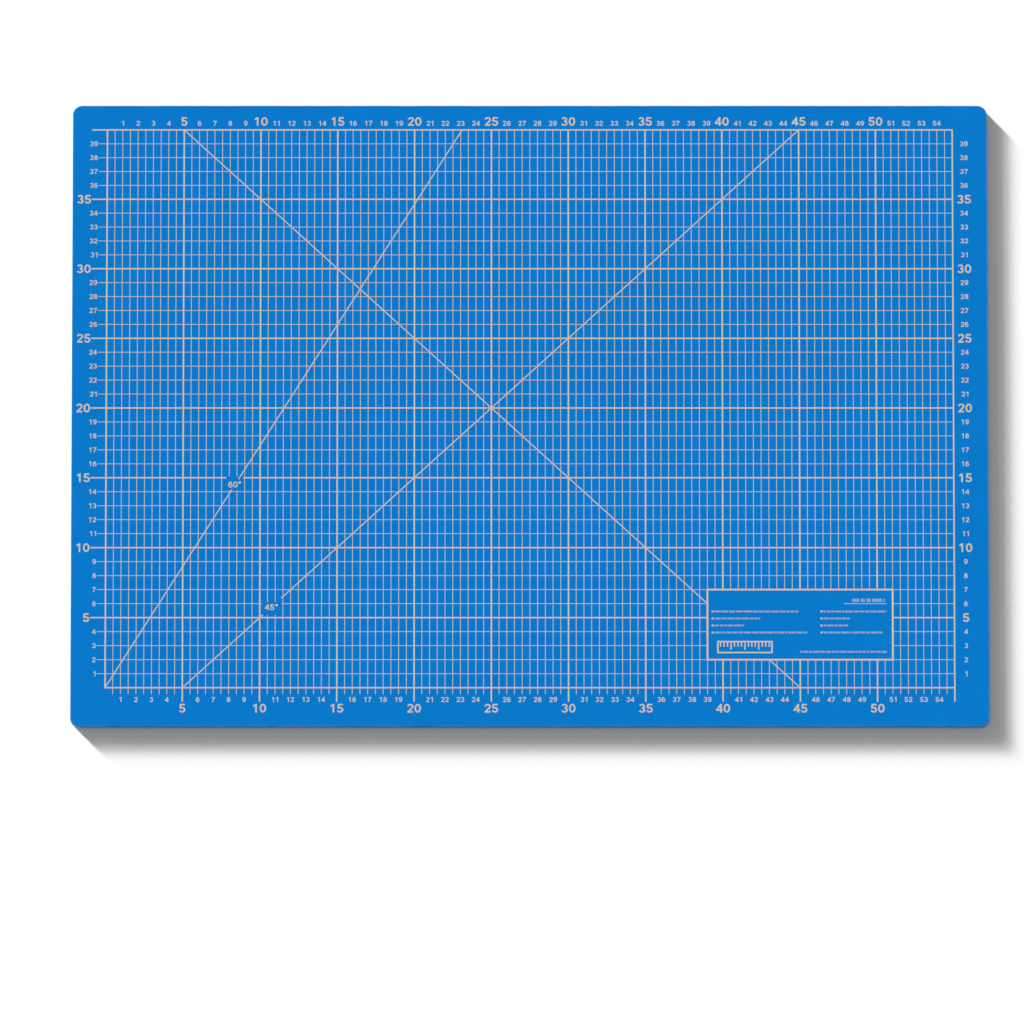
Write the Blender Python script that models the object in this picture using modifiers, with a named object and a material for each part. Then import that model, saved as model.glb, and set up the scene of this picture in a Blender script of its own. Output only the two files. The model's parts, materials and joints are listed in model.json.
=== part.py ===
"""Self-healing cutting mat: a double-sided laminate of five bonded PVC sheets.

The mat lies flat, mid-blue face up. Its origin is the centre of the underside, +X runs along
the long side, +Y towards the far side, and +Z points out of the mid-blue face. Lengths are in
metres. The sheets are stacked from the underside up, each one closed solid.
"""
from math import cos, pi, sin

import bmesh
import bpy

# Driving dimensions
MAT_LENGTH = 0.595
MAT_WIDTH = 0.445
MAT_THICKNESS = 0.003
CORNER_RADIUS = 0.0065
SKIN_THICKNESS = 0.0005
CUSHION_THICKNESS = 0.0006
BOND_LINE = 0.00002
RIM_ROUNDING = 0.00025

# How finely the round stretches are cut
CORNER_STEPS = 12
RIM_SEGMENTS = 3

# Neighbouring faces flatter to each other than this, in radians, are one flat face
FLAT_ANGLE = 0.01

CORE_THICKNESS = MAT_THICKNESS - 2 * (SKIN_THICKNESS + CUSHION_THICKNESS) - 4 * BOND_LINE

# Base colours in linear light
MID_BLUE = (0.005, 0.190, 0.584)
DEEP_BLUE = (0.004, 0.120, 0.400)
CORE_GREY = (0.560, 0.600, 0.640)
PALE_BLUE = (0.150, 0.491, 0.888)
DUSTY_BLUE = (0.110, 0.380, 0.720)

# (node, thickness, colour, roughness, which rim is rounded), from the underside up
SHEETS = (
    ("back_surface_sheet", SKIN_THICKNESS, PALE_BLUE, 0.55, "lower"),
    ("back_cushion_sheet", CUSHION_THICKNESS, DUSTY_BLUE, 0.65, None),
    ("rigid_core_sheet", CORE_THICKNESS, CORE_GREY, 0.60, None),
    ("front_cushion_sheet", CUSHION_THICKNESS, DEEP_BLUE, 0.65, None),
    ("front_surface_sheet", SKIN_THICKNESS, MID_BLUE, 0.55, "upper"),
)


def clear_scene():
    for obj in list(bpy.data.objects):
        bpy.data.objects.remove(obj, do_unlink=True)


def new_collection(name):
    collection = bpy.data.collections.new(name)
    bpy.context.scene.collection.children.link(collection)
    return collection


def plastic(name, colour, roughness):
    material = bpy.data.materials.new(name)
    material.use_nodes = True
    shader = material.node_tree.nodes["Principled BSDF"]
    shader.inputs["Base Color"].default_value = (*colour, 1)
    shader.inputs["Roughness"].default_value = roughness
    shader.inputs["Metallic"].default_value = 0
    return material


def rounded_rectangle(length, width, radius, steps):
    """Points round a rectangle with arcs at its corners, anticlockwise from the +X side."""
    points = []
    for quarter in range(4):
        start = quarter * pi / 2
        side_x = 1 if quarter in (0, 3) else -1
        side_y = 1 if quarter in (0, 1) else -1
        centre_x = side_x * (length / 2 - radius)
        centre_y = side_y * (width / 2 - radius)
        for step in range(steps + 1):
            angle = start + step / steps * pi / 2
            points.append((centre_x + radius * cos(angle), centre_y + radius * sin(angle)))
    return points


def outline_curve(name, thickness):
    """A flat closed curve of the mat's outline, thickened about its own plane."""
    curve = bpy.data.curves.new(name, "CURVE")
    curve.dimensions = "2D"
    curve.fill_mode = "BOTH"
    curve.extrude = thickness / 2
    points = rounded_rectangle(MAT_LENGTH, MAT_WIDTH, CORNER_RADIUS, CORNER_STEPS)
    spline = curve.splines.new("POLY")
    spline.points.add(len(points) - 1)
    for point, (x, y) in zip(spline.points, points):
        point.co = (x, y, 0, 1)
    spline.use_cyclic_u = True
    return curve


def mesh_of_curve(curve):
    """The curve's solid as one welded mesh, with each flat side a single face."""
    holder = bpy.data.objects.new("outline", curve)
    bpy.context.scene.collection.objects.link(holder)
    evaluated = holder.evaluated_get(bpy.context.evaluated_depsgraph_get())
    mesh = bpy.data.meshes.new_from_object(evaluated)
    bpy.data.objects.remove(holder)
    shape = bmesh.new()
    shape.from_mesh(mesh)
    bmesh.ops.remove_doubles(shape, verts=shape.verts, dist=BOND_LINE / 2)
    bmesh.ops.recalc_face_normals(shape, faces=shape.faces)
    bmesh.ops.dissolve_limit(shape, angle_limit=FLAT_ANGLE, verts=shape.verts, edges=shape.edges)
    shape.to_mesh(mesh)
    shape.free()
    return mesh


def mark_rim(mesh, side):
    """Gives bevel weight to the outline edges of one flat side, "upper" or "lower"."""
    facing = 1 if side == "upper" else -1
    shape = bmesh.new()
    shape.from_mesh(mesh)
    weight = shape.edges.layers.float.new("bevel_weight_edge")
    for edge in shape.edges:
        on_side = all(vert.co.z * facing > 0 for vert in edge.verts)
        is_corner = edge.calc_face_angle(0) > pi / 4
        edge[weight] = 1.0 if on_side and is_corner else 0.0
    shape.to_mesh(mesh)
    shape.free()


def round_rim(obj, side):
    mark_rim(obj.data, side)
    bevel = obj.modifiers.new("rim_rounding", "BEVEL")
    bevel.limit_method = "WEIGHT"
    bevel.width = RIM_ROUNDING
    bevel.segments = RIM_SEGMENTS


def make_sheet(collection, name, thickness, colour, roughness, rounded_side, underside):
    """One sheet of the laminate, with its lower face at the height `underside`."""
    mesh = mesh_of_curve(outline_curve(name, thickness))
    mesh.name = name
    mesh.materials.clear()
    mesh.materials.append(plastic(name, colour, roughness))
    obj = bpy.data.objects.new(name, mesh)
    obj.location.z = underside + thickness / 2
    collection.objects.link(obj)
    if rounded_side:
        round_rim(obj, rounded_side)


def build_mat():
    collection = new_collection("self_healing_mat")
    underside = 0.0
    for name, thickness, colour, roughness, rounded_side in SHEETS:
        make_sheet(collection, name, thickness, colour, roughness, rounded_side, underside)
        underside += thickness + BOND_LINE


clear_scene()
build_mat()
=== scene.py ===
"""Looks of the self-healing mat: printed ink on both faces, PVC materials, floor, light and camera.

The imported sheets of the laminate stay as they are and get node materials. The print is built here
as thin raised ink. It is laid out once, in print coordinates: metres from the lower left corner of
the grid, with the height counted from the printed face, and then placed on each face.
"""

import json
import random
from math import cos, hypot, pi, radians, sin, sqrt

import bpy
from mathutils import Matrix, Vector


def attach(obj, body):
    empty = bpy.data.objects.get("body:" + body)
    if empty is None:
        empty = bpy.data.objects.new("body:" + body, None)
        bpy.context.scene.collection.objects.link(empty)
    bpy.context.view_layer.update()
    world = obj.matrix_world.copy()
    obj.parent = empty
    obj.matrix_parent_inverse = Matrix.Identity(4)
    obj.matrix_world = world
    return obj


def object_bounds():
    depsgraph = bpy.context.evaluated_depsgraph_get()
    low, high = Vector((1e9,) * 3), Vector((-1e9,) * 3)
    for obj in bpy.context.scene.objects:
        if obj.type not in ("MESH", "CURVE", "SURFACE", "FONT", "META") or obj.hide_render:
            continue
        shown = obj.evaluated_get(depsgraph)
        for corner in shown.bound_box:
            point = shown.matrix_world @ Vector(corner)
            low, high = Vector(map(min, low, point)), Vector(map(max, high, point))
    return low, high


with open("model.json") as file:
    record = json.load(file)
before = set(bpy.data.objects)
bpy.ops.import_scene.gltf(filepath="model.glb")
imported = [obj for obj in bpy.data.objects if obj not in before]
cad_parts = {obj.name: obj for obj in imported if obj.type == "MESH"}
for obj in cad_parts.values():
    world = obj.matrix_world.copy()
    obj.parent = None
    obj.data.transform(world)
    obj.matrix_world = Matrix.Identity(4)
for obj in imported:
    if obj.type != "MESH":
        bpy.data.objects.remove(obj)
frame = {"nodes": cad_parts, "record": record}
CAD_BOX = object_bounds()

MM = 0.001
CM = 0.01

# The corners of the sheets, as the CAD has them
CORNER_RADIUS = 6.5 * MM

# The printed grid
GRID_LENGTH = 55 * CM
GRID_WIDTH = 40 * CM
NEAR_MARGIN = 27.5 * MM
LENGTH_PITCH = 5 * MM
WIDTH_PITCH = 10 * MM
BOLD_PITCH = 50 * MM

# Line widths
FINE_LINE = 0.40 * MM
BOLD_LINE = 0.92 * MM
ANGLE_LINE = 0.68 * MM
PANEL_LINE = 1.20 * MM

# The ink film. It is sunk a little into the skin, so that it leaves no gap under it. Each angle line
# lies one overprint higher than the one before it, and each stroke of a numeral one stroke lift
# higher, so that no two tops that cross share a plane.
INK_SINK = 0.010 * MM
INK_HEIGHT = 0.030 * MM
OVERPRINT = 0.004 * MM
STROKE_LIFT = OVERPRINT / 8

# Edge scales: the lengths of the ticks and the heights of the numbers
NEAR_TICK = 4.6 * MM
NEAR_BOLD_TICK = 10.0 * MM
LEFT_TICK = 5.5 * MM
LEFT_BOLD_TICK = 10.0 * MM
SMALL_DIGIT = 3.5 * MM
LARGE_DIGIT = 6.2 * MM
LARGE_NUMBER_EVERY = 5

# How far outside the grid the numbers stand: to their centres on the near side and the right, to
# their feet on the far side, and to their last digits' ends on the left
NEAR_SMALL_GAP = 8.4 * MM
NEAR_LARGE_GAP = 14.6 * MM
FAR_GAP = 3.0 * MM
LEFT_SMALL_GAP = 6.2 * MM
LEFT_LARGE_GAP = 10.5 * MM
RIGHT_GAP = 7.5 * MM

# Angle lines: the x where both 45 degree lines start on the left, the y between which a line is
# broken for its label, the height of the labels' digits, and the labels' centres
FORTY_FIVE_START = 5 * CM
FORTY_FIVE_BREAK = (5.20 * CM, 6.40 * CM)
SIXTY_BREAK = (14.15 * CM, 14.90 * CM)
ANGLE_DIGIT = 4.2 * MM
FORTY_FIVE_LABEL = (10.75 * CM, 5.75 * CM)
SIXTY_LABEL = (8.35 * CM, 14.52 * CM)

# The skins' knife marks: direction in radians, length and width in millimetres
CUTS = ((0.05, 60.0, 0.55), (1.52, 45.0, 0.50), (0.83, 35.0, 0.50), (2.5, 30.0, 0.45))

# Wear of the skins' rims: how far from the outline it starts and where it is full, in millimetres,
# how far its colour goes towards white, and how much of that colour covers the skin's at most
WEAR_START = 0.70
WEAR_FULL = 0.05
WORN_WHITENING = 0.35
WORN_COVER = 0.35

# The floor: clear of the highest ink of the lower face, with an opening that ends a little inside
# the mat's outline, so that no light from below gets past
FLOOR_HALF_SIDE = 8.0
FLOOR_CLEARANCE = 10 * OVERPRINT
OPENING_INSET = 0.4 * MM

# Suns: name, brightness given to a white surface lying flat, width in the sky, azimuth, elevation,
# and whether it falls on the floor only (INCLUDE) or on everything else (EXCLUDE). Angles are in
# degrees. Three keys at different heights give the floor a shadow that fades outwards.
KEY_AZIMUTH = 132
SUNS = (
    ("low_floor_key", 0.40, 4.6, KEY_AZIMUTH, 6.4, "INCLUDE"),
    ("middle_floor_key", 0.33, 7, KEY_AZIMUTH, 9, "INCLUDE"),
    ("high_floor_key", 0.05, 5, KEY_AZIMUTH, 16.4, "INCLUDE"),
    ("mat_key", 0.75, 12, KEY_AZIMUTH, 52, "EXCLUDE"),
    ("light_from_below", 0.71, 20, 0, -90, "EXCLUDE"),
)
FILL = 0.28

# The camera: its height over the floor in degrees, its lens and sensor in millimetres, the width it
# sees at the mat, and how far the middle of its view lies from the middle of the mat
CAMERA_ELEVATION = 65.0
LENS = 1500.0
SENSOR_WIDTH = 36.0
SEEN_WIDTH = 664.0 * MM
AIM_SHIFT = (-11.6 * MM, -69.5 * MM)


# ---------------------------------------------------------------- numerals

# In units of the digit's height
DIGIT_STROKE = 0.165
DIGIT_ADVANCE = 0.777

# Degrees between the points of an arc
ARC_STEP = 12


def arc(centre, radii, start, end):
    """Points along an elliptical arc between two angles in degrees."""
    steps = max(2, round(abs(end - start) / ARC_STEP))
    points = []
    for step in range(steps + 1):
        angle = radians(start + (end - start) * step / steps)
        points.append((centre[0] + radii[0] * cos(angle), centre[1] + radii[1] * sin(angle)))
    return points


def ring(centre, radii):
    """A closed stroke round an ellipse."""
    return arc(centre, radii, 0, 360)[:-1], True


def half_turn(strokes):
    """The strokes turned upside down about the middle of the digit."""
    turned = []
    for points, closed in strokes:
        turned.append(([(DIGIT_ADVANCE - x, 1 - y) for x, y in points], closed))
    return turned


def numeral_strokes():
    """Centre lines of a plain grotesque's numerals: each is a list of (points, closed) one unit high."""
    mid = DIGIT_ADVANCE / 2
    low = DIGIT_STROKE / 2
    high = 1 - low
    six = [
        ring((mid, 0.315), (0.255, 0.25)),
        (arc((mid, 0.315), (0.255, high - 0.315), 42, 180), False),
    ]
    return {
        "0": [ring((mid, 0.5), (0.255, high - 0.5))],
        "1": [([(0.455, 0), (0.455, 1)], False), ([(0.455, 0.925), (0.17, 0.725)], False)],
        "2": [
            (arc((mid, 0.70), (0.25, high - 0.70), 172, -38) + [(0.17, low)], False),
            ([(0.085, low), (0.69, low)], False),
        ],
        "3": [
            (arc((mid - 0.02, 0.72), (0.215, high - 0.72), 160, -90), False),
            (arc((mid - 0.02, 0.285), (0.255, 0.285 - low), 90, -165), False),
        ],
        "4": [
            ([(0.545, 0.935), (0.115, 0.31)], False),
            ([(0.035, 0.295), (0.74, 0.295)], False),
            ([(0.54, 0), (0.54, 1)], False),
        ],
        "5": [
            ([(0.66, high), (0.215, high), (0.165, 0.50)], False),
            (arc((mid - 0.015, 0.32), (0.255, 0.32 - low), 132, -165), False),
        ],
        "6": six,
        "7": [
            ([(0.06, high), (0.73, high)], False),
            ([(0.645, high), (0.45, 0.55), (0.34, 0.25), (0.29, 0)], False),
        ],
        "8": [
            ring((mid, 0.73), (0.205, high - 0.73)),
            ring((mid, 0.29), (0.25, 0.29 - low)),
        ],
        "9": half_turn(six),
        "°": [ring((0.27, 0.83), (0.12, 0.12))],
    }


# ---------------------------------------------------------------- ink shapes
# A shape is (points, faces), with faces turned outwards. A rectangle is (x0, x1, y0, y1).


def merged(shapes):
    """Several shapes as one."""
    points, faces = [], []
    for shape_points, shape_faces in shapes:
        first = len(points)
        points.extend(shape_points)
        faces.extend(tuple(first + i for i in face) for face in shape_faces)
    return points, faces


def moved(shape, x, y, size=1.0):
    """The shape scaled in its plane, then shifted."""
    return [(x + size * px, y + size * py, pz) for px, py, pz in shape[0]], shape[1]


def corner_offset(before, here, after, half_width):
    """The mitred shift from a centre line's point to the left side of its stroke."""
    directions = []
    for a, b in ((before, here), (here, after)):
        length = hypot(b[0] - a[0], b[1] - a[1])
        if length:
            directions.append(((b[0] - a[0]) / length, (b[1] - a[1]) / length))
    dx = sum(d[0] for d in directions)
    dy = sum(d[1] for d in directions)
    length = hypot(dx, dy)
    normal = (-dy / length, dx / length)
    spread = normal[0] * -directions[0][1] + normal[1] * directions[0][0]
    return normal[0] * half_width / spread, normal[1] * half_width / spread


def stroke(points, width, closed=False, lift=0.0):
    """A line of even width along a centre line, as a closed solid of ink with four corners a point."""
    count = len(points)
    bottom, top = -INK_SINK, INK_HEIGHT + lift
    corners = []
    for i, (x, y) in enumerate(points):
        before = points[i - 1] if closed or i else points[i]
        after = points[(i + 1) % count] if closed or i < count - 1 else points[i]
        ox, oy = corner_offset(before, (x, y), after, width / 2)
        for side, height in ((1, top), (-1, top), (-1, bottom), (1, bottom)):
            corners.append((x + side * ox, y + side * oy, height))
    faces = []
    for i in range(count if closed else count - 1):
        a, b = 4 * i, 4 * ((i + 1) % count)
        for k in range(4):
            faces.append((a + k, a + (k + 1) % 4, b + (k + 1) % 4, b + k))
    if not closed:
        last = 4 * (count - 1)
        faces.append((3, 2, 1, 0))
        faces.append((last, last + 1, last + 2, last + 3))
    return corners, faces


def object_of(name, shape):
    """A new object in the scene with the shape as its mesh."""
    mesh = bpy.data.meshes.new(name)
    mesh.from_pydata(shape[0], [], shape[1])
    obj = bpy.data.objects.new(name, mesh)
    bpy.context.scene.collection.objects.link(obj)
    return obj


def union_of(shapes):
    """Overlapping solids joined into one."""
    if len(shapes) == 1:
        return shapes[0]
    pieces = [object_of("stroke", shape) for shape in shapes]
    for piece in pieces[1:]:
        join = pieces[0].modifiers.new("join", "BOOLEAN")
        join.operation = "UNION"
        join.object = piece
    evaluated = pieces[0].evaluated_get(bpy.context.evaluated_depsgraph_get())
    mesh = evaluated.to_mesh()
    points = [tuple(v.co) for v in mesh.vertices]
    faces = [tuple(p.vertices) for p in mesh.polygons]
    evaluated.to_mesh_clear()
    for piece in pieces:
        bpy.data.objects.remove(piece)
    return points, faces


def numerals():
    """One solid for each numeral, one metre high but with the ink's own thickness."""
    made = {}
    for character, strokes in numeral_strokes().items():
        solids = []
        for number, (points, closed) in enumerate(strokes):
            solids.append(stroke(points, DIGIT_STROKE, closed, number * STROKE_LIFT))
        made[character] = union_of(solids)
    return made


NUMERALS = numerals()


def label(text, x, y, height, anchor="centre"):
    """A number of the given digit height, centred on y, and centred on x or ending there."""
    shapes = []
    for i, character in enumerate(text):
        shapes.append(moved(NUMERALS[character], i * DIGIT_ADVANCE, 0))
    points, faces = merged(shapes)
    left = min(p[0] for p in points)
    right = max(p[0] for p in points)
    start = right if anchor == "right" else (left + right) / 2
    return moved((points, faces), x - start * height, y - height / 2, height)


def snapped(rectangles):
    """The rectangles with their sides rounded to ten nanometres, so that sides that meet are equal."""
    return [tuple(round(side, 8) for side in rectangle) for rectangle in rectangles]


def cell_mask(xs, ys, inked, bare):
    """For each cell between neighbouring xs and ys, whether it holds ink."""
    filled = [[False] * (len(ys) - 1) for _ in range(len(xs) - 1)]
    column = {x: i for i, x in enumerate(xs)}
    row = {y: j for j, y in enumerate(ys)}
    for value, rectangles in ((True, inked), (False, bare)):
        for x0, x1, y0, y1 in rectangles:
            for i in range(column[x0], column[x1]):
                for j in range(row[y0], row[y1]):
                    filled[i][j] = value
    return filled


def ink_area(inked, bare=()):
    """A closed solid over the rectangles of `inked`, less those of `bare`, with no inner walls."""
    inked, bare = snapped(inked), snapped(bare)
    xs = sorted({x for rectangle in inked + bare for x in rectangle[:2]})
    ys = sorted({y for rectangle in inked + bare for y in rectangle[2:]})
    filled = cell_mask(xs, ys, inked, bare)
    points, index, faces = [], {}, []

    def corner(i, j, top):
        """The number of the point at this corner of the cells, added when first asked for."""
        if (i, j, top) not in index:
            index[i, j, top] = len(points)
            points.append((xs[i], ys[j], INK_HEIGHT if top else -INK_SINK))
        return index[i, j, top]

    def open_at(i, j):
        """Whether the cell holds no ink or lies outside the area."""
        outside = i < 0 or j < 0 or i >= len(filled) or j >= len(filled[0])
        return outside or not filled[i][j]

    def wall(a, b):
        """The upright face over one side of a cell."""
        return corner(*a, False), corner(*b, False), corner(*b, True), corner(*a, True)

    for i in range(len(filled)):
        for j in range(len(filled[0])):
            if not filled[i][j]:
                continue
            around = ((i, j), (i + 1, j), (i + 1, j + 1), (i, j + 1))
            faces.append(tuple(corner(*at, True) for at in around))
            faces.append(tuple(corner(*at, False) for at in reversed(around)))
            beyond = ((i, j - 1), (i + 1, j), (i, j + 1), (i - 1, j))
            for k in range(4):
                if open_at(*beyond[k]):
                    faces.append(wall(around[k], around[(k + 1) % 4]))
    return points, faces


# ---------------------------------------------------------------- the print


def grown(rectangle, by):
    """The rectangle with each side moved outwards."""
    x0, x1, y0, y1 = rectangle
    return x0 - by, x1 + by, y0 - by, y1 + by


# The panel, and the places that the grid leaves bare: under the panel and round the angle labels
PANEL = (39 * CM, 51 * CM, 2 * CM, 7 * CM)
PANEL_WINDOW = grown(PANEL, PANEL_LINE / 2)
SIXTY_WINDOW = (7.80 * CM, 8.90 * CM, 14.10 * CM, 15.10 * CM)
FORTY_FIVE_WINDOW = (10.15 * CM, 11.40 * CM, 5.20 * CM, 6.10 * CM)
BARE = [PANEL_WINDOW, SIXTY_WINDOW, FORTY_FIVE_WINDOW]

# The panel's rows of dashes: the x where each column starts and where each of its rows ends, the y
# of the top row, and how far a row's dashes start from its bullet's left side
PANEL_COLUMNS = (
    (39.27 * CM, (44.9 * CM, 42.4 * CM, 41.4 * CM, 45.5 * CM)),
    (46.32 * CM, (50.6 * CM, 48.2 * CM, 48.1 * CM, 50.4 * CM)),
)
TOP_ROW = 5.44 * CM
ROW_PITCH = 0.50 * CM
ROW_HEIGHT = 1.3 * MM
ROW_INDENT = 2.1 * MM
DASH_SEED = 11


def centred(at, width):
    """The two sides of a line of this width."""
    return at - width / 2, at + width / 2


def places_every(pitch, length):
    """Places from 0 to the length, one pitch apart."""
    return [i * pitch for i in range(round(length / pitch) + 1)]


def is_bold(at):
    """Whether the grid's line at this place is a bold one."""
    return abs(at / BOLD_PITCH - round(at / BOLD_PITCH)) < 1e-6


def lines_across(ats, width, start, end):
    """Lines parallel to Y at the given x."""
    return [(*centred(x, width), start, end) for x in ats]


def lines_along(ats, width, start, end):
    """Lines parallel to X at the given y."""
    return [(start, end, *centred(y, width)) for y in ats]


def grid_lines(bold, width, overrun):
    """The bold or the fine lines of the grid both ways, run on past its sides by `overrun`."""
    xs = [x for x in places_every(LENGTH_PITCH, GRID_LENGTH) if is_bold(x) == bold]
    ys = [y for y in places_every(WIDTH_PITCH, GRID_WIDTH) if is_bold(y) == bold]
    across = lines_across(xs, width, -overrun, GRID_WIDTH + overrun)
    along = lines_along(ys, width, -overrun, GRID_LENGTH + overrun)
    return across + along


def ticks():
    """The scale marks outside the grid, on its near and left sides."""
    grid_side = -BOLD_LINE / 2
    marks = []
    for x in places_every(LENGTH_PITCH, GRID_LENGTH)[1:]:
        width, reach = (BOLD_LINE, NEAR_BOLD_TICK) if is_bold(x) else (FINE_LINE, NEAR_TICK)
        marks.append((*centred(x, width), -reach, grid_side))
    for y in places_every(WIDTH_PITCH, GRID_WIDTH)[1:]:
        width, reach = (BOLD_LINE, LEFT_BOLD_TICK) if is_bold(y) else (FINE_LINE, LEFT_TICK)
        marks.append((-reach, grid_side, *centred(y, width)))
    return marks


def scale_values(length, large):
    """The centimetres with a number along a side: the multiples of five if large, or the rest."""
    values = range(1, round(length / CM))
    return [value for value in values if (value % LARGE_NUMBER_EVERY == 0) == large]


def scale_numbers(large):
    """The large or the small numbers on all four sides."""
    height = LARGE_DIGIT if large else SMALL_DIGIT
    near_y = -NEAR_LARGE_GAP if large else -NEAR_SMALL_GAP
    far_y = GRID_WIDTH + FAR_GAP + height / 2
    left_x = -LEFT_LARGE_GAP if large else -LEFT_SMALL_GAP
    right_x = GRID_LENGTH + RIGHT_GAP
    shapes = []
    for value in scale_values(GRID_LENGTH, large):
        shapes.append(label(str(value), value * CM, near_y, height))
        shapes.append(label(str(value), value * CM, far_y, height))
    for value in scale_values(GRID_WIDTH, large):
        shapes.append(label(str(value), left_x, value * CM, height, "right"))
        shapes.append(label(str(value), right_x, value * CM, height))
    return shapes


def on_rising_line(y):
    """The point of the rising 45 degree line at this y."""
    return FORTY_FIVE_START + y, y


def on_falling_line(y):
    """The point of the falling 45 degree line at this y."""
    return FORTY_FIVE_START + GRID_WIDTH - y, y


def on_sixty_line(y):
    """The point of the 60 degree line at this y."""
    return y / sqrt(3), y


def angle_lines():
    """The 45 degree lines both ways and the 60 degree line, broken at the labels and the panel."""
    panel_left, panel_base = PANEL[0], PANEL[2]
    panel_entry = FORTY_FIVE_START + GRID_WIDTH - panel_left
    runs = (
        (on_rising_line(0), on_rising_line(FORTY_FIVE_BREAK[0])),
        (on_rising_line(FORTY_FIVE_BREAK[1]), on_rising_line(GRID_WIDTH)),
        (on_falling_line(GRID_WIDTH), on_falling_line(panel_entry)),
        (on_falling_line(panel_base), on_falling_line(0)),
        (on_sixty_line(0), on_sixty_line(SIXTY_BREAK[0])),
        (on_sixty_line(SIXTY_BREAK[1]), on_sixty_line(GRID_WIDTH)),
    )
    return [stroke(run, ANGLE_LINE, lift=(1 + i) * OVERPRINT) for i, run in enumerate(runs)]


def angle_labels():
    """The numbers of degrees on the 60 degree line and the rising 45 degree line."""
    return [
        label("60°", *SIXTY_LABEL, ANGLE_DIGIT),
        label("45°", *FORTY_FIVE_LABEL, ANGLE_DIGIT),
    ]


def panel_frame():
    """The line round the panel."""
    return ink_area([PANEL_WINDOW], [grown(PANEL, -PANEL_LINE / 2)])


def dashes(x0, x1, y, height, rng):
    """A row of upright dashes in word-long groups, standing in for a line of small print."""
    pitch = 0.42 * height
    width = 0.20 * height
    shortest, longest = 3, 9
    marks = []
    x = x0
    left_in_group = rng.randint(shortest, longest)
    while x + width < x1:
        marks.append((x, x + width, *centred(y, height)))
        left_in_group -= 1
        x += pitch
        if not left_in_group:
            x += pitch
            left_in_group = rng.randint(shortest, longest)
    return marks


def ruler_icon(x, y, length, height):
    """A little ruler drawn in outline, with a long mark after every three short ones."""
    line = 1.0 * MM
    mark_width = 0.8 * MM
    short_mark = 3.2 * MM
    long_mark = 5.2 * MM
    divisions = 16
    marks = [
        (x, x + length, y, y + line),
        (x, x + length, y + height - line, y + height),
        (x, x + line, y + line, y + height - line),
        (x + length - line, x + length, y + line, y + height - line),
    ]
    top = y + height - line
    for i in range(1, divisions):
        reach = short_mark if i % 4 else long_mark
        marks.append((*centred(x + length * i / divisions, mark_width), top - reach, top))
    return marks


def panel_marks():
    """Bullets with rows of dashes, a ruled heading, a foot line and a small ruler, all generic."""
    rng = random.Random(DASH_SEED)
    marks = []
    for start, ends in PANEL_COLUMNS:
        for row, end in enumerate(ends):
            y = TOP_ROW - row * ROW_PITCH
            marks.append((start, start + ROW_HEIGHT, *centred(y, ROW_HEIGHT)))
            marks.extend(dashes(start + ROW_INDENT, end, y, ROW_HEIGHT, rng))
    heading = dashes(48.4 * CM, 50.5 * CM, y=6.24 * CM, height=2.2 * MM, rng=rng)
    heading_rule = (47.85 * CM, 50.6 * CM, 5.98 * CM, 6.02 * CM)
    foot_line = dashes(45.0 * CM, 50.6 * CM, y=2.56 * CM, height=ROW_HEIGHT, rng=rng)
    ruler = ruler_icon(39.62 * CM, 2.46 * CM, length=36 * MM, height=8.8 * MM)
    return marks + heading + [heading_rule] + foot_line + ruler


def print_pieces():
    """Every piece of the print by name, in print coordinates."""
    bold = grid_lines(bold=True, width=BOLD_LINE, overrun=BOLD_LINE / 2)
    fine = grid_lines(bold=False, width=FINE_LINE, overrun=0.0)
    return {
        "fine_grid": ink_area(fine, bold + BARE),
        "bold_grid": ink_area(bold, BARE),
        "edge_ticks": ink_area(ticks()),
        "small_numbers": merged(scale_numbers(large=False)),
        "large_numbers": merged(scale_numbers(large=True)),
        "angle_lines": merged(angle_lines()),
        "angle_labels": merged(angle_labels()),
        "panel_frame": panel_frame(),
        "panel_marks": ink_area(panel_marks()),
    }


def on_face(shape, side):
    """The shape on the front or the back face. The back is the front turned over left to right."""
    low, high = CAD_BOX
    left = (high.x - low.x - GRID_LENGTH) / 2
    centre_x = (low.x + high.x) / 2
    placed = []
    for x, y, z in shape[0]:
        px, py = low.x + left + x, low.y + NEAR_MARGIN + y
        if side == "front":
            placed.append((px, py, high.z + z))
        else:
            placed.append((2 * centre_x - px, py, low.z - z))
    return placed, shape[1]


# ---------------------------------------------------------------- nodes
# Texture places and sizes are in millimetres.


def new_material(name):
    """A material, its node tree and its shader."""
    material = bpy.data.materials.new(name)
    material.use_nodes = True
    return material, material.node_tree, material.node_tree.nodes["Principled BSDF"]


def add_node(tree, kind, inputs=None, **settings):
    """A node with its settings and inputs. An input is a value, or another node's output socket."""
    node = tree.nodes.new(kind)
    for name, value in settings.items():
        setattr(node, name, value)
    for key, value in (inputs or {}).items():
        socket = node.inputs[key]
        if isinstance(value, bpy.types.NodeSocket):
            tree.links.new(value, socket)
        else:
            socket.default_value = value
    return node


def calc(tree, operation, a, b=0.0, c=0.0):
    """Arithmetic on values."""
    node = add_node(tree, "ShaderNodeMath", {0: a, 1: b, 2: c}, operation=operation)
    return node.outputs[0]


def calc_vector(tree, operation, a, b=(0, 0, 0)):
    """Arithmetic on vectors."""
    node = add_node(tree, "ShaderNodeVectorMath", {0: a, 1: b}, operation=operation)
    return node.outputs[0]


def weighted(tree, value, weight, base):
    """base plus the value times its weight."""
    return calc(tree, "MULTIPLY_ADD", value, weight, base)


def vary(tree, value, amount, base=1.0):
    """base, varied up and down by `amount` with a value from 0 to 1."""
    return weighted(tree, value, 2 * amount, base - amount)


def ramp(tree, value, start, end, rise="SMOOTHSTEP"):
    """0 below start and 1 above end, with a rise between them."""
    inputs = {"Value": value, "From Min": start, "From Max": end}
    node = add_node(tree, "ShaderNodeMapRange", inputs, interpolation_type=rise)
    return node.outputs[0]


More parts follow.
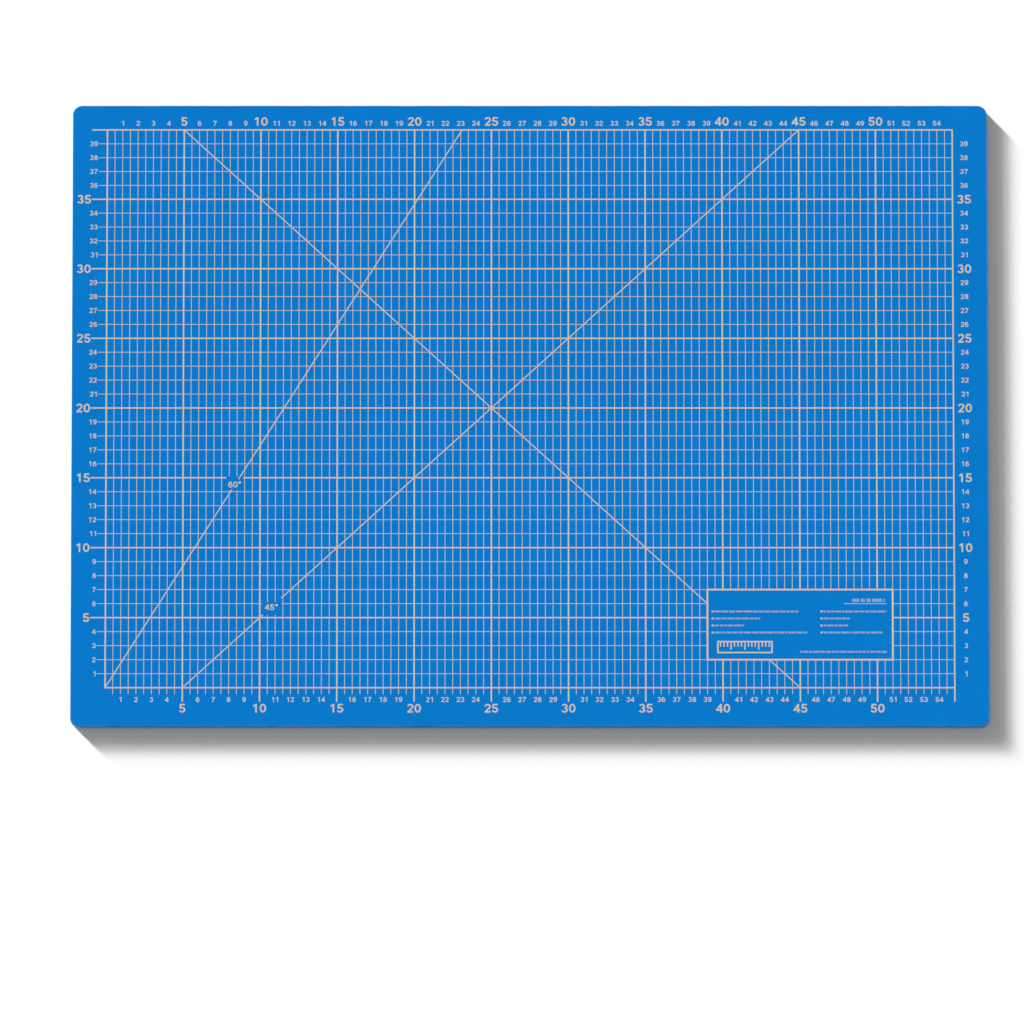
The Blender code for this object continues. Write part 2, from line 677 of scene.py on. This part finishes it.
def clamped(tree, value):
    """The value held between 0 and 1."""
    return add_node(tree, "ShaderNodeClamp", {0: value}).outputs[0]


def place_in_mm(tree, stretch=(1, 1, 1)):
    """Object coordinates in millimetres."""
    place = add_node(tree, "ShaderNodeTexCoord").outputs["Object"]
    return calc_vector(tree, "MULTIPLY", place, tuple(s / MM for s in stretch))


def noise(tree, place, size, detail):
    """Noise from 0 to 1 with features of about this size."""
    inputs = {"Vector": place, "Scale": 1 / size, "Detail": detail}
    return add_node(tree, "ShaderNodeTexNoise", inputs).outputs["Fac"]


def pebbles(tree, place, size):
    """Rounded dimples of about this size."""
    inputs = {"Vector": place, "Scale": 1 / size}
    return add_node(tree, "ShaderNodeTexVoronoi", inputs).outputs["Distance"]


def tinted(tree, colour, factor):
    """The colour made lighter or darker by a factor."""
    inputs = {0: colour, "Scale": factor}
    return add_node(tree, "ShaderNodeVectorMath", inputs, operation="SCALE").outputs[0]


def blend_colours(tree, share_of_b, a, b):
    """A mix of two colours, each a value or an output socket."""
    node = add_node(tree, "ShaderNodeMix", data_type="RGBA")
    share_input, a_input, b_input, mixed_output = 0, 6, 7, 2
    tree.links.new(share_of_b, node.inputs[share_input])
    for index, colour in ((a_input, a), (b_input, b)):
        if isinstance(colour, bpy.types.NodeSocket):
            tree.links.new(colour, node.inputs[index])
        else:
            node.inputs[index].default_value = (*colour, 1)
    return node.outputs[mixed_output]


def bump(tree, height, distance):
    """A surface direction made uneven by a height from 0 to 1."""
    node = add_node(tree, "ShaderNodeBump", {"Height": height, "Distance": distance})
    return node.outputs["Normal"]


def finish_shader(tree, shader, colour, roughness, normal, specular, tint=(1, 1, 1)):
    """Connects a shader's colour, roughness and surface direction, and sets its gloss."""
    tree.links.new(colour, shader.inputs["Base Color"])
    tree.links.new(roughness, shader.inputs["Roughness"])
    tree.links.new(normal, shader.inputs["Normal"])
    shader.inputs["Specular IOR Level"].default_value = specular
    shader.inputs["Specular Tint"].default_value = (*tint, 1)


# ---------------------------------------------------------------- materials


def outline_reach(tree, place):
    """Millimetres outwards from where the corner arcs start: the corner radius, at the outline."""
    low, high = CAD_BOX
    corner = CORNER_RADIUS / MM
    half = ((high.x - low.x) / 2 / MM - corner, (high.y - low.y) / 2 / MM - corner, 0)
    flat = calc_vector(tree, "MULTIPLY", place, (1, 1, 0))
    mirrored = calc_vector(tree, "ABSOLUTE", flat)
    beyond = calc_vector(tree, "SUBTRACT", mirrored, half)
    outside = calc_vector(tree, "MAXIMUM", beyond)
    return add_node(tree, "ShaderNodeVectorMath", {0: outside}, operation="LENGTH").outputs["Value"]


def rim_wear(tree, place):
    """From 0 inside to 1 at the mat's outline, broken up so that it reads as handling wear."""
    outline = CORNER_RADIUS / MM
    reach = outline_reach(tree, place)
    near_edge = ramp(tree, reach, start=outline - WEAR_START, end=outline - WEAR_FULL)
    broken = weighted(tree, noise(tree, place, size=9.0, detail=4.0), weight=2.4, base=-0.7)
    return calc(tree, "MULTIPLY", near_edge, clamped(tree, broken))


def streaks(tree, place, angle, length, width):
    """Scattered thin lines in one direction, 1 on a line and 0 elsewhere."""
    inputs = {"Vector": place, "Angle": angle}
    turned = add_node(tree, "ShaderNodeVectorRotate", inputs, rotation_type="Z_AXIS").outputs[0]
    stretched = calc_vector(tree, "MULTIPLY", turned, (1 / length, 1 / width, 0))
    lines = noise(tree, stretched, size=1.0, detail=0.0)
    return ramp(tree, lines, start=0.76, end=0.84)


def healed_cuts(tree, place):
    """Closed-up knife marks: faint hairlines in a few directions, mostly in worked patches."""
    marks = 0.0
    for angle, length, width in CUTS:
        marks = calc(tree, "MAXIMUM", marks, streaks(tree, place, angle, length, width))
    blotches = noise(tree, place, size=70.0, detail=2.0)
    worked = ramp(tree, blotches, start=0.42, end=0.62, rise="LINEAR")
    return calc(tree, "MULTIPLY", marks, worked)


def skin_material(name, colour, worn_colour):
    """Matte PVC with a fine pebbled grain, soft mottling, healed cuts and slightly whitened rims."""
    material, tree, shader = new_material(name)
    place = place_in_mm(tree)
    grain = pebbles(tree, place, size=0.60)
    tooth = noise(tree, place, size=0.22, detail=1.0)
    mottle = noise(tree, place, size=26.0, detail=3.0)
    broad = noise(tree, place, size=160.0, detail=1.0)
    cuts = healed_cuts(tree, place)
    shade = calc(tree, "MULTIPLY", vary(tree, grain, amount=0.05), vary(tree, mottle, amount=0.05))
    shade = calc(tree, "MULTIPLY", shade, vary(tree, broad, amount=0.04))
    shade = calc(tree, "MULTIPLY", shade, weighted(tree, cuts, weight=-0.10, base=1.0))
    worn_share = calc(tree, "MULTIPLY", rim_wear(tree, place), WORN_COVER)
    surface = blend_colours(tree, worn_share, tinted(tree, colour, shade), worn_colour)
    height = weighted(tree, tooth, weight=0.35, base=grain)
    height = weighted(tree, cuts, weight=-0.8, base=height)
    normal = bump(tree, height, distance=0.035 * MM)
    roughness = vary(tree, mottle, amount=0.06, base=0.50)
    roughness = calc(tree, "ADD", roughness, vary(tree, tooth, amount=0.05, base=0.0))
    roughness = weighted(tree, cuts, weight=0.12, base=roughness)
    finish_shader(tree, shader, surface, roughness, normal, specular=0.12, tint=colour)
    return material


def ply_material(name, colour):
    """The cut edge of an inner sheet: upright knife marks and a chalky unevenness."""
    material, tree, shader = new_material(name)
    upright = place_in_mm(tree, stretch=(1, 1, 0.12))
    marks = noise(tree, upright, size=0.35, detail=3.0)
    blotches = noise(tree, place_in_mm(tree), size=6.0, detail=3.0)
    shade = calc(tree, "MULTIPLY", vary(tree, marks, amount=0.12), vary(tree, blotches, amount=0.07))
    surface = tinted(tree, colour, shade)
    roughness = vary(tree, marks, amount=0.10, base=0.66)
    normal = bump(tree, marks, distance=0.03 * MM)
    finish_shader(tree, shader, surface, roughness, normal, specular=0.25)
    return material


def ink_material(name, colour, ground):
    """Screen-printed ink: slightly uneven cover that lets a little of the ground through."""
    material, tree, shader = new_material(name)
    place = place_in_mm(tree)
    speckle = noise(tree, place, size=0.30, detail=2.0)
    cover = noise(tree, place, size=14.0, detail=3.0)
    thin = weighted(tree, speckle, weight=0.22, base=-0.06)
    thin = calc(tree, "ADD", thin, vary(tree, cover, amount=0.06, base=0.05))
    surface = blend_colours(tree, clamped(tree, thin), colour, ground)
    roughness = vary(tree, speckle, amount=0.10, base=0.46)
    normal = bump(tree, speckle, distance=0.015 * MM)
    finish_shader(tree, shader, surface, roughness, normal, specular=0.12)
    return material


def floor_material():
    """Plain and pale. It is open under the mat, so that light reaches the lower face, and the
    camera sees through it from below."""
    material, tree, shader = new_material("floor")
    shader.inputs["Base Color"].default_value = (0.97, 0.97, 0.97, 1)
    shader.inputs["Roughness"].default_value = 0.9
    shader.inputs["Specular IOR Level"].default_value = 0.0
    from_camera = add_node(tree, "ShaderNodeLightPath").outputs["Is Camera Ray"]
    from_below = add_node(tree, "ShaderNodeNewGeometry").outputs["Backfacing"]
    unseen = calc(tree, "MULTIPLY", from_camera, from_below)
    reach = outline_reach(tree, place_in_mm(tree))
    opening = calc(tree, "LESS_THAN", reach, (CORNER_RADIUS - OPENING_INSET) / MM)
    clear_share = calc(tree, "MAXIMUM", unseen, opening)
    clear = add_node(tree, "ShaderNodeBsdfTransparent").outputs[0]
    mixed = add_node(tree, "ShaderNodeMixShader", {0: clear_share, 1: shader.outputs[0], 2: clear})
    tree.links.new(mixed.outputs[0], tree.nodes["Material Output"].inputs["Surface"])
    return material


# ---------------------------------------------------------------- assembly


def slot_colour(slot):
    """The record's colour for a material slot."""
    for entry in frame["record"]["materials"]:
        if entry["slot"] == slot:
            return tuple(entry["base_color"][:3])
    raise KeyError(slot)


def whitened(colour, share):
    """The colour brought this share of the way to white."""
    return tuple(c + (1 - c) * share for c in colour)


def assign(obj, material):
    """Makes this the object's only material."""
    obj.data.materials.clear()
    obj.data.materials.append(material)


def dress_sheets():
    """Gives each sheet of the laminate its material."""
    skins = {"front_surface_sheet": "mid_blue_skin", "back_surface_sheet": "light_blue_skin"}
    plies = {
        "front_cushion_sheet": "deep_blue_ply",
        "rigid_core_sheet": "grey_core",
        "back_cushion_sheet": "dusty_blue_ply",
    }
    for node, slot in skins.items():
        colour = slot_colour(slot)
        assign(frame["nodes"][node], skin_material(node, colour, whitened(colour, WORN_WHITENING)))
    for node, slot in plies.items():
        assign(frame["nodes"][node], ply_material(node, slot_colour(slot)))


def add_print():
    """Puts every piece of the print on both faces."""
    ink = slot_colour("printing_ink")
    grounds = {"front": slot_colour("mid_blue_skin"), "back": slot_colour("light_blue_skin")}
    pieces = print_pieces()
    for side, ground in grounds.items():
        material = ink_material(side + "_ink", ink, ground)
        for name, shape in pieces.items():
            obj = object_of(side + "_" + name, on_face(shape, side))
            assign(obj, material)
            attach(obj, "root")


def add_floor():
    """A plain floor just under the ink of the lower face."""
    half = FLOOR_HALF_SIDE
    z = CAD_BOX[0].z - INK_HEIGHT - FLOOR_CLEARANCE
    corners = [(-half, -half, z), (half, -half, z), (half, half, z), (-half, half, z)]
    floor = object_of("floor", (corners, [(0, 1, 2, 3)]))
    assign(floor, floor_material())
    return floor


def add_sun(name, brightness, softness, azimuth, elevation):
    """An even light from a direction given in degrees, with the softness as its width in the sky."""
    light = bpy.data.lights.new(name, "SUN")
    light.energy = brightness * pi / abs(sin(radians(elevation)))
    light.angle = radians(softness)
    holder = bpy.data.objects.new(name, light)
    level = cos(radians(elevation))
    upward = sin(radians(elevation))
    source = Vector((level * cos(radians(azimuth)), level * sin(radians(azimuth)), upward))
    holder.rotation_euler = source.to_track_quat("Z", "Y").to_euler()
    bpy.context.scene.collection.objects.link(holder)
    return holder


def link_light(light, floor, state):
    """Makes a light fall on the floor only (INCLUDE), or on everything but the floor (EXCLUDE)."""
    receivers = bpy.data.collections.new(light.name + "_receivers")
    receivers.objects.link(floor)
    receivers.collection_objects[0].light_linking.link_state = state
    light.light_linking.receiver_collection = receivers


def add_surround():
    """A dim even sky for the fill light, seen as white by the camera."""
    world = bpy.data.worlds.new("surround")
    world.use_nodes = True
    tree = world.node_tree
    from_camera = add_node(tree, "ShaderNodeLightPath").outputs["Is Camera Ray"]
    strength = weighted(tree, from_camera, weight=1.0 - FILL, base=FILL)
    background = tree.nodes["Background"]
    background.inputs["Color"].default_value = (1, 1, 1, 1)
    tree.links.new(strength, background.inputs["Strength"])
    bpy.context.scene.world = world


def add_light(floor):
    """A soft key from the upper left, low over the floor and higher over the mat, and a weak fill."""
    for name, brightness, softness, azimuth, elevation, state in SUNS:
        link_light(add_sun(name, brightness, softness, azimuth, elevation), floor, state)
    add_surround()


def add_camera():
    """A long lens from the near side, 65 degrees above the floor, with the mat up and to the right."""
    low, high = CAD_BOX
    elevation = radians(CAMERA_ELEVATION)
    distance = SEEN_WIDTH * LENS / SENSOR_WIDTH
    centre = Vector(((low.x + high.x) / 2, (low.y + high.y) / 2, high.z))
    aim = centre + Vector((*AIM_SHIFT, 0))
    back = Vector((0, -cos(elevation), sin(elevation)))
    camera = bpy.data.cameras.new("camera")
    camera.lens = LENS
    camera.sensor_width = SENSOR_WIDTH
    camera.clip_end = 2 * distance
    holder = bpy.data.objects.new("camera", camera)
    holder.location = aim + back * distance
    holder.rotation_euler = back.to_track_quat("Z", "Y").to_euler()
    bpy.context.scene.collection.objects.link(holder)
    bpy.context.scene.camera = holder


dress_sheets()
add_print()
add_light(add_floor())
add_camera()
bpy.context.scene.view_settings.view_transform = "Standard"
